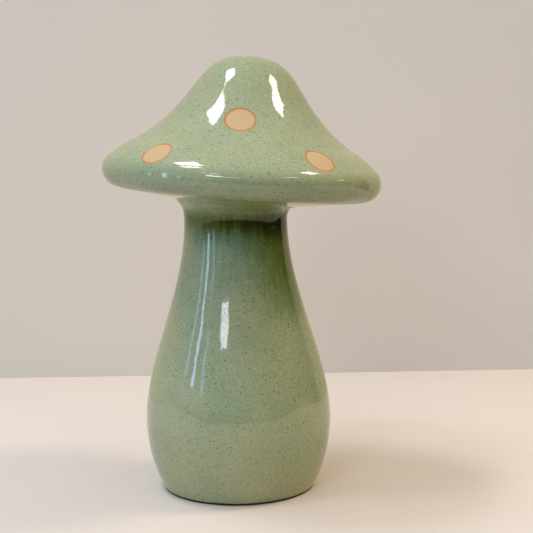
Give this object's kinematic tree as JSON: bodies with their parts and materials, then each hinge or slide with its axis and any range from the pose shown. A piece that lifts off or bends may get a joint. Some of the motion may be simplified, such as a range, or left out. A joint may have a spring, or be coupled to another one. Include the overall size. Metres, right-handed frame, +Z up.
{
  "type": "ceramic mushroom ornament",
  "caption": "Free-standing hollow mushroom ornament: a bell-shaped cap with round bare-clay spots set slightly aslant on a bulbous stem, both under speckled green gloss glaze.",
  "frame": {"origin": "centre of the base pad's underside, on the surface that the ornament stands on and on the stem's axis", "axes": "+Z up along the upright stem; -Y is the front of the picture; +X is the side towards which the cap leans down"},
  "size_m": [0.1692, 0.1696, 0.2644],
  "materials": {
    "pad_felt": "black pressed felt",
    "adhesive": "thin film of pressure-sensitive adhesive",
    "stem_clay": "fired buff clay, unglazed",
    "joining_clay": "fired buff clay, wiped smooth by hand",
    "cap_clay": "fired buff clay, bare in the round windows",
    "stem_glaze": "speckled sage-green gloss glaze",
    "cap_glaze": "speckled sage-green gloss glaze"
  },
  "bodies": {
    "root": {"base_pad": "pad_felt", "adhesive_film": "adhesive", "stem_body": "stem_clay", "joining_coil": "joining_clay", "cap_body": "cap_clay", "stem_glaze": "stem_glaze", "cap_glaze": "cap_glaze"}
  },
  "joints": []
}
